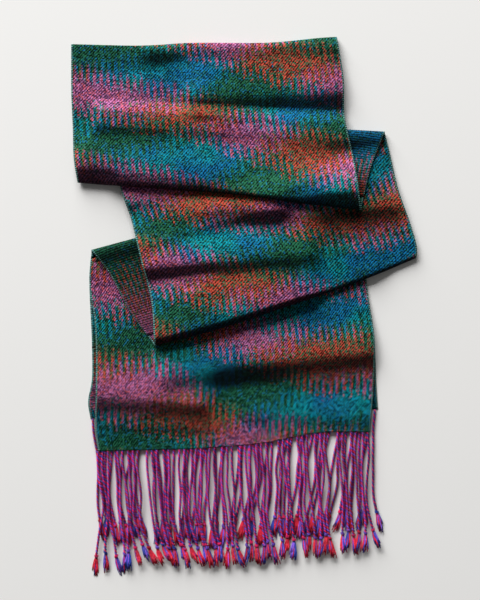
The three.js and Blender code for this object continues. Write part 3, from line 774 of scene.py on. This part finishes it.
class SCARF_OT_turns(bpy.types.Operator):
    """Lay the two corners where the cloth turns back and shows its other face"""

    bl_idname = "scarf.turns"
    bl_label = "Turns"

    def execute(self, context):
        s = context.scene.scarf_cloth
        step, wall = s.grid / MM, s.thickness
        back = material("twill_back")
        for name, node, part, following, before, bulge, (near, far), rightmost in (
            ("right_corner", "right_turn", RIGHT_TURN, MIDDLE, BULGE["first"], BULGE["second"],
             RIGHT_SHOWS, True),
            ("left_corner", "left_turn", LEFT_TURN, END, BULGE["third"], BULGE["fourth"],
             LEFT_SHOWS, False),
        ):
            level = upper(part)
            begin = (before + FLAP + 2 * SEAM_GAP) / part.length
            end = 1 - (FLOOR_LAYER + bulge) / part.length
            rows = []
            for along in np.linspace(begin, end, round((end - begin) * part.length / step)):
                xy = part.place(edge_strip(mix(near, far, along), rightmost), along)
                rows.append(np.column_stack([xy, level(xy[:, 0], xy[:, 1])]))
            strip = edge_strip(far, rightmost)
            rows += roll_rows(part, level, following, on_floor, strip, bulge)
            piece = cloth_piece(name, part, rows, strip, begin * part.length, node, back, wall)
            settle(piece, node)
        return {"FINISHED"}


class SCARF_OT_layers(bpy.types.Operator):
    """Lay the layers that the others hide, so that their edges show"""

    bl_idname = "scarf.layers"
    bl_label = "Hidden layers"

    def execute(self, context):
        s = context.scene.scarf_cloth
        twill, back = material("twill"), material("twill_back")
        # Name, stretch, shares of its length where the layer starts and ends, pattern, face that shows
        for name, part, begin, end, pattern, face in (
            ("top_lower", TOP, 0.07, 0.94, "top", back),
            ("right_lower", RIGHT_TURN, 0.18, 0.9, "right_turn", twill),
            ("middle_lower", MIDDLE, 0.08, 0.94, "middle", back),
            ("left_lower", LEFT_TURN, 0.16, 0.9, "left_turn", twill),
        ):
            across = np.linspace(HIDDEN_INSET, 1 - HIDDEN_INSET, round(part.width / HIDDEN_GRID))
            rows = cloth_rows(part, upper(part, LAYER_PITCH), across, begin, end, HIDDEN_GRID)
            start = begin * part.length
            piece = cloth_piece(name, part, rows, across, start, pattern, face, s.thickness)
            settle(piece, "hidden_layers")

        across = columns(UNDER.width, UNDER_GRID)
        rows = cloth_rows(UNDER, on_floor, across, TUCKED_START, UNDER_START - SEAM_SHARE, LOWER_GRID)
        piece = cloth_piece("end_lower", UNDER, rows, across, LOWER_DOWN, "end", back, s.thickness)
        settle(piece, "hidden_layers")

        rows = cloth_rows(UNDER, on_floor, across, UNDER_START, 1 - HEM_CUT / UNDER.length, UNDER_GRID)
        start = UNDER_START * span(UNDER, across)
        piece = cloth_piece("under_twill", UNDER, rows, across, start, "end", back, s.thickness)
        settle(piece, "under_end")
        return {"FINISHED"}


# Fringe

# Root on the hem, number of strands, and where the lock passes half way down and ends, how far its
# tufts stand apart, and where they end, in millimetres
UPPER_LOCKS = [
    (-141, 3, -138, -137, 11, -270), (-124, 2, -119, -117, 6, -268), (-111, 3, -109, -98, 8, -260),
    (-92, 3, -88, -79, 6.5, -260), (-78, 2, -75, -63.5, 6, -261), (-62, 2, -63, -53, 5, -262),
    (-48, 3, -48, -39, 5.5, -261), (-32, 2, -32, -24.5, 5.5, -260), (-17, 3, -15, -9.5, 6, -262),
    (1, 3, 3, 9, 5.5, -259), (17, 3, 20, 26, 5.5, -258), (39, 3, 42, 44, 6.5, -253),
    (58, 3, 62, 65, 6, -251), (76, 3, 79, 82, 5.5, -252), (96, 2, 99, 102, 6, -247),
    (109, 2, 110, 112, 5.5, -249), (121, 2, 121, 126, 9, -246),
]
UNDER_LOCKS = [
    (-146, 3, -142, -137, 5, -234), (-128, 3, -128, -122, 5, -240), (-107, 3, -113, -106, 5.5, -233),
    (-87, 3, -84, -82, 5, -238), (-71, 2, -74, -70, 4.8, -244), (-55, 3, -55, -58, 4.8, -236),
    (-39, 3, -44, -43, 4.8, -239), (-22, 3, -25, -27, 4.8, -242), (-6, 2, -4, -14, 4.8, -238),
    (9, 3, 10, 2, 4.8, -234), (27, 2, 24, 17, 4.8, -242), (44, 3, 38, 33, 4.8, -231),
    (64, 3, 56, 50, 4.8, -233), (82, 3, 73, 67, 4.8, -232), (98, 2, 90, 81, 4.8, -234),
    (110, 3, 103, 101, 6, -226), (120, 2, 116, 118, 5, -224), (130.8, 1, 126.5, 136, 0, -226),
]
ROOT_PITCH = 4.9  # neighbouring strands of a lock, at the hem and half way down
WAIST_PITCH = 4.4
TUFT_STAGGER = 4  # every second strand of a lock is so much shorter
ROOT_TUCK = 0.2  # the strands start so far inside the line of the hem
UPPER_FRINGE_LEVEL = 4.3  # middle of the strands that lie on those of the under end
UNDER_FRINGE_LEVEL = 1.75  # middle of the strands that lie on the surface
TIP_LEVEL = 1.65  # middle of the tufts on the surface

# Where down the page a height changes, from one value of y to the other
UPPER_FRINGE_RISE = (-146, -165)
UPPER_FRINGE_FALL = (-243, -258)
UNDER_FRINGE_RISE = (-190, -215)

KNOT_SHARE = 0.83  # where the knot lies, as a share of the strand
KNOT_FLATNESS = 0.71  # what a knot keeps of its height
KNOT_STRETCH = 1.05  # and of its width
KNOT_TILT = 0.6
KNOT = {"radius": 1.25, "tube": 0.85, "turns": 1.7, "rise": 1.6, "sides": 6, "steps": 16}
PLY_OFFSET = 0.84  # middle of a ply from the middle of its strand, in half thicknesses of a ply
PLY_RUN = 100.0  # length of the straight ply that is bent along each strand
PLY_SIDES = 5
PLY_STEPS = 6  # for each turn of the twist
TUFT_YARNS = 20
TUFT_CURL = 3.4  # how far a whole tuft, and each of its yarns, bends to a side at its end
TUFT_BEND = 1.6
TUFT_SPREAD = (0.8, 2.1, 0.3)  # half width of a tuft at its knot, what its middle adds, what its end takes
TUFT_FLATNESS = 0.28
YARN_FLATNESS = 0.62
TUFT_FLOOR = 0.45  # lowest middle of a loosened yarn
GOLDEN_TURN = 2.4  # radians from one yarn of a tuft to the next
WAVES = [((0.8, 2.6), (5, 9)), ((0.1, 0.4), (14, 22))]  # a strand's two waves: how far, and how often
RIDE = (0.0, 0.5)  # how far a strand rides up half way, on average

# Yarns, and by their numbers the two of a strand, the commonest ones more often, and those of tufts
YARNS = ["crimson", "violet", "scarlet", "navy"]
PAIRS = [(0, 1), (0, 1), (0, 1), (0, 3), (2, 1)]
RED_TUFT, BLUE_TUFTS = 2, (3, 3, 1)
RED_SHARES = (0.85, 0.2, 0.5, 0.7, 0.4)  # shares of red yarns that tufts have


def upper_fringe_level(y):
    lying = mix(FLOOR_LAYER + LAYER_PITCH + HEM_LIFT, UPPER_FRINGE_LEVEL, ease(*UPPER_FRINGE_RISE, y))
    return mix(lying, TIP_LEVEL, ease(*UPPER_FRINGE_FALL, y))


def under_fringe_level(y):
    return mix(UNDER_FRINGE_LEVEL, TIP_LEVEL, ease(*UNDER_FRINGE_RISE, y))


def mesh_of(bm, name):
    mesh = bpy.data.meshes.new(name)
    bm.to_mesh(mesh)
    bm.free()
    return mesh


def coil(radius, tube, turns, rise, sides, steps, start=0.0):
    """A tube that winds round the Z axis, climbing from 0 to rise. The section of a steep one lies
    flat, and that of a tight one stands upright."""
    bm = bmesh.new()
    bmesh.ops.create_circle(bm, cap_ends=True, cap_tris=False, segments=sides, radius=tube)
    if rise / turns < 4 * tube:
        bmesh.ops.rotate(bm, verts=bm.verts, cent=(0, 0, 0), matrix=rotation("X", 90))
    bmesh.ops.translate(bm, verts=bm.verts, vec=(radius, 0, 0))
    bmesh.ops.rotate(bm, verts=bm.verts, cent=(0, 0, 0), matrix=rotation("Z", start))
    bmesh.ops.spin(bm, geom=bm.verts[:] + bm.edges[:] + bm.faces[:], cent=(0, 0, 0), axis=(0, 0, 1),
                   dvec=(0, 0, rise / steps), angle=math.tau * turns, steps=steps)
    bmesh.ops.remove_doubles(bm, verts=bm.verts, dist=1e-5)
    bmesh.ops.recalc_face_normals(bm, faces=bm.faces)
    return bm


def rotation(axis, degrees):
    return Matrix.Rotation(math.radians(degrees), 3, axis)


def fibre_mesh():
    """A thin tapering yarn along Z from 0 to 1, 1 across at its root."""
    bm = bmesh.new()
    bmesh.ops.create_circle(bm, cap_ends=True, cap_tris=False, segments=4, radius=0.5)
    top = bm.faces[:]
    for rise, scale in ((0.3, 1.15), (0.4, 1.0), (0.3, 0.8)):
        made = bmesh.ops.extrude_face_region(bm, geom=top)
        top = [f for f in made["geom"] if isinstance(f, bmesh.types.BMFace)]
        ring = [v for v in made["geom"] if isinstance(v, bmesh.types.BMVert)]
        bmesh.ops.translate(bm, verts=ring, vec=(0, 0, rise))
        bmesh.ops.scale(bm, verts=ring, vec=(scale, scale, 1))
    bmesh.ops.recalc_face_normals(bm, faces=bm.faces)
    return mesh_of(bm, "fibre")


class StrandPath:
    """The line of a strand from its root to the end of its tuft."""

    def __init__(self, root, waist, tip, end, level, waves, ride):
        self.root, self.waist, self.tip, self.end = root, waist, tip, end
        self.level, self.waves, self.ride = level, waves, ride

    def at(self, share):
        head = mix(self.root[0], self.waist, float(ease(0, 0.5, share)))
        x = head if share < 0.5 else mix(self.waist, self.tip, float(ease(0.5, 1, share)))
        free = 4 * share * (1 - share)
        x += free * sum(far * math.sin(share * often + begin) for far, often, begin in self.waves)
        y = mix(self.root[1], self.end, share)
        z = float(self.level(y)) + free * self.ride * (1 + math.sin(share * 9 + self.waves[0][2]))
        return Vector((x, y, z))

    def frame(self, share):
        here = self.at(share)
        ahead = (self.at(min(share + 0.01, 1.0)) - self.at(max(share - 0.01, 0.0))).normalized()
        side = ahead.cross(Vector((0, 0, 1))).normalized()
        return here, ahead, side, side.cross(ahead)


def add_mesh(bm, mesh, move, dye):
    """Adds a mesh to a bmesh, moves its points and gives its faces a yarn."""
    points, faces = len(bm.verts), len(bm.faces)
    bm.from_mesh(mesh)
    bm.verts.ensure_lookup_table()
    bm.faces.ensure_lookup_table()
    for i in range(points, len(bm.verts)):
        vert = bm.verts[i]
        vert.co = move(vert.co)
    for i in range(faces, len(bm.faces)):
        bm.faces[i].material_index = dye


def fringe_piece(name, locks, line, level, seed):
    s = bpy.context.scene.scarf_fringe
    rng = random.Random(seed)
    ply, turns = s.ply / MM / 2, PLY_RUN / (s.twist / MM)
    steps = round(turns * PLY_STEPS)
    plies = [mesh_of(coil(ply * PLY_OFFSET, ply, turns, PLY_RUN, PLY_SIDES, steps, start), "ply")
             for start in (0, 180)]
    knot = mesh_of(coil(**KNOT), "knot")
    fibre = fibre_mesh()
    on_line = line(np.linspace(0.0, 1.0, 400))

    whole = bmesh.new()
    for root, count, waist, tip, fan, end in locks:
        for i in range(count):
            place = i - (count - 1) / 2
            x = root + place * ROOT_PITCH
            start = (x, float(np.interp(x, on_line[:, 0], on_line[:, 1])) + ROOT_TUCK)
            waves = [(rng.uniform(*far), rng.uniform(*often), rng.uniform(0, 6)) for far, often in WAVES]
            path = StrandPath(start, waist + place * WAIST_PITCH, tip + place * fan,
                              end + (i % 2) * TUFT_STAGGER, level, waves, rng.uniform(*RIDE))
            strand(whole, path, plies, knot, fibre, rng, s)
    return finish(whole, name, *(material(yarn_name) for yarn_name in YARNS))


def strand(whole, path, plies, knot, fibre, rng, s):
    """Adds one strand with its knot and its tuft."""
    spin = rng.uniform(0, math.tau)
    cos, sin = math.cos(spin), math.sin(spin)
    pair = rng.choice(PAIRS)
    for mesh, dye in zip(plies, pair):
        def wind(co):
            share = co.z / PLY_RUN * (KNOT_SHARE + 0.01)
            here, _, side, up = path.frame(share)
            slim = 0.8 + 0.2 * float(ease(0.0, 0.05, share))
            return (here + (side * (co.x * cos - co.y * sin) + up * (co.x * sin + co.y * cos)) * slim) * MM
        add_mesh(whole, mesh, wind, dye)

    here, ahead, side, up = path.frame(KNOT_SHARE)
    tilt = rng.uniform(-KNOT_TILT, KNOT_TILT)

    def tie(co):
        along = (co.z - KNOT["rise"] / 2) + tilt * co.x
        return (here + side * co.x * KNOT_STRETCH + up * co.y * KNOT_FLATNESS + ahead * along) * MM
    add_mesh(whole, knot, tie, rng.choice(pair))

    red = rng.choice(RED_SHARES)
    long = (1 - KNOT_SHARE) * abs(path.end - path.root[1])
    curl = rng.uniform(-TUFT_CURL, TUFT_CURL)
    narrow, swell, close = TUFT_SPREAD
    for k in range(TUFT_YARNS):
        angle, lean = k * GOLDEN_TURN + spin, math.sqrt((k + 0.5) / TUFT_YARNS)
        dx, dz = math.cos(angle) * lean, math.sin(angle) * lean
        reach = long * rng.uniform(0.6, 1.0)
        width = s.fibre / MM * rng.uniform(0.8, 1.15)
        bend = rng.uniform(-TUFT_BEND, TUFT_BEND)

        def fray(co):
            t = co.z
            open_out = narrow + swell * math.sin(min(t * 1.3, 1.0) * math.pi / 2) - close * t * t
            middle = (here + ahead * (0.5 + t * (reach - 0.5))
                      + side * (dx * open_out + (bend + curl) * t * t)
                      + up * dz * open_out * TUFT_FLATNESS)
            middle.z = max(middle.z, TUFT_FLOOR)
            return (middle + side * co.x * width + up * co.y * width * YARN_FLATNESS) * MM
        add_mesh(whole, fibre, fray, RED_TUFT if rng.random() < red else rng.choice(BLUE_TUFTS))


class SCARF_OT_fringe(bpy.types.Operator):
    """Hang the twisted strands, knots and tufts of both ends"""

    bl_idname = "scarf.fringe"
    bl_label = "Fringe"

    def execute(self, context):
        for name, node, locks, hem, level, seed, cloth, rests in (
            ("upper_strands", "fringe_end", UPPER_LOCKS, "hem", upper_fringe_level, 5,
             "end_twill", ("hidden_layers", "under_end")),
            ("under_strands", "fringe_under", UNDER_LOCKS, "under_hem", under_fringe_level, 11,
             "under_twill", ()),
        ):
            piece = fringe_piece(name, locks, FOLDS[hem], level, seed)
            settle(piece, node)
        return {"FINISHED"}


# The stage, in metres
FLOOR_REACH = 6.0  # half the side of the floor
LAMP_PLACE = (-2.2, 5.7, 2.8)
LAMP_SIZE = (5.6, 4.4)
FILL_WHITE = (1.0, 0.995, 0.985, 1.0)
PAGE_MIDDLE = (-0.00415, 0.00695)  # where the middle of the picture lies
SENSOR = 24.0  # millimetres


class SCARF_OT_stage(bpy.types.Operator):
    """Put the floor, the soft light and the camera in place"""

    bl_idname = "scarf.stage"
    bl_label = "Stage"

    def execute(self, context):
        scene, s = context.scene, context.scene.scarf_stage
        bm = bmesh.new()
        bmesh.ops.create_grid(bm, x_segments=1, y_segments=1, size=FLOOR_REACH)
        shade = Shade("floor")
        floor = finish(bm, "floor", shade.surface(Base_Color=tuple(s.floor), Roughness=0.9,
                                                  Specular_IOR_Level=0.1))

        key = bpy.data.lights.new("key", "AREA")
        key.energy, key.shape = s.key, "RECTANGLE"
        key.size, key.size_y = LAMP_SIZE
        lamp = bpy.data.objects.new("key", key)
        lamp.location = LAMP_PLACE
        lamp.rotation_euler = (-Vector(lamp.location)).to_track_quat("-Z", "Y").to_euler()
        scene.collection.objects.link(lamp)

        world = bpy.data.worlds.new("studio")
        scene.world = world
        world.use_nodes = True
        background = world.node_tree.nodes["Background"]
        background.inputs["Color"].default_value = FILL_WHITE
        background.inputs["Strength"].default_value = s.fill
        scene.view_settings.view_transform = "Standard"

        camera = bpy.data.objects.new("camera", bpy.data.cameras.new("camera"))
        camera.data.sensor_fit = "VERTICAL"
        camera.data.sensor_height = SENSOR
        camera.data.lens = SENSOR * s.height / s.view
        camera.data.clip_end = 20.0
        camera.location = (*PAGE_MIDDLE, s.height)
        scene.collection.objects.link(camera)
        scene.camera = camera
        return {"FINISHED"}


class SCARF_PT_panel(bpy.types.Panel):
    """Steps that build the scarf"""

    bl_idname = "SCARF_PT_panel"
    bl_label = "Scarf"
    bl_space_type = "VIEW_3D"
    bl_region_type = "UI"
    bl_category = "Scarf"

    def draw(self, context):
        for group in ("scarf_cloth", "scarf_fringe", "scarf_stage"):
            settings = getattr(context.scene, group)
            for key in settings.__annotations__:
                self.layout.prop(settings, key)
        for operator in STEPS:
            self.layout.operator(operator.bl_idname)


GROUPS = {"scarf_cloth": ScarfCloth, "scarf_fringe": ScarfFringe, "scarf_stage": ScarfStage}
STEPS = [SCARF_OT_stage, SCARF_OT_stretches, SCARF_OT_turns, SCARF_OT_layers, SCARF_OT_fringe]


def register():
    for cls in (*GROUPS.values(), *STEPS, SCARF_PT_panel):
        bpy.utils.register_class(cls)
    for name, group in GROUPS.items():
        setattr(bpy.types.Scene, name, bpy.props.PointerProperty(type=group))


def unregister():
    for name in GROUPS:
        delattr(bpy.types.Scene, name)
    for cls in reversed((*GROUPS.values(), *STEPS, SCARF_PT_panel)):
        bpy.utils.unregister_class(cls)


def main():
    register()
    bpy.ops.scarf.stage()
    bpy.ops.scarf.stretches()
    bpy.ops.scarf.turns()
    bpy.ops.scarf.layers()
    bpy.ops.scarf.fringe()


if __name__ == "__main__":
    main()
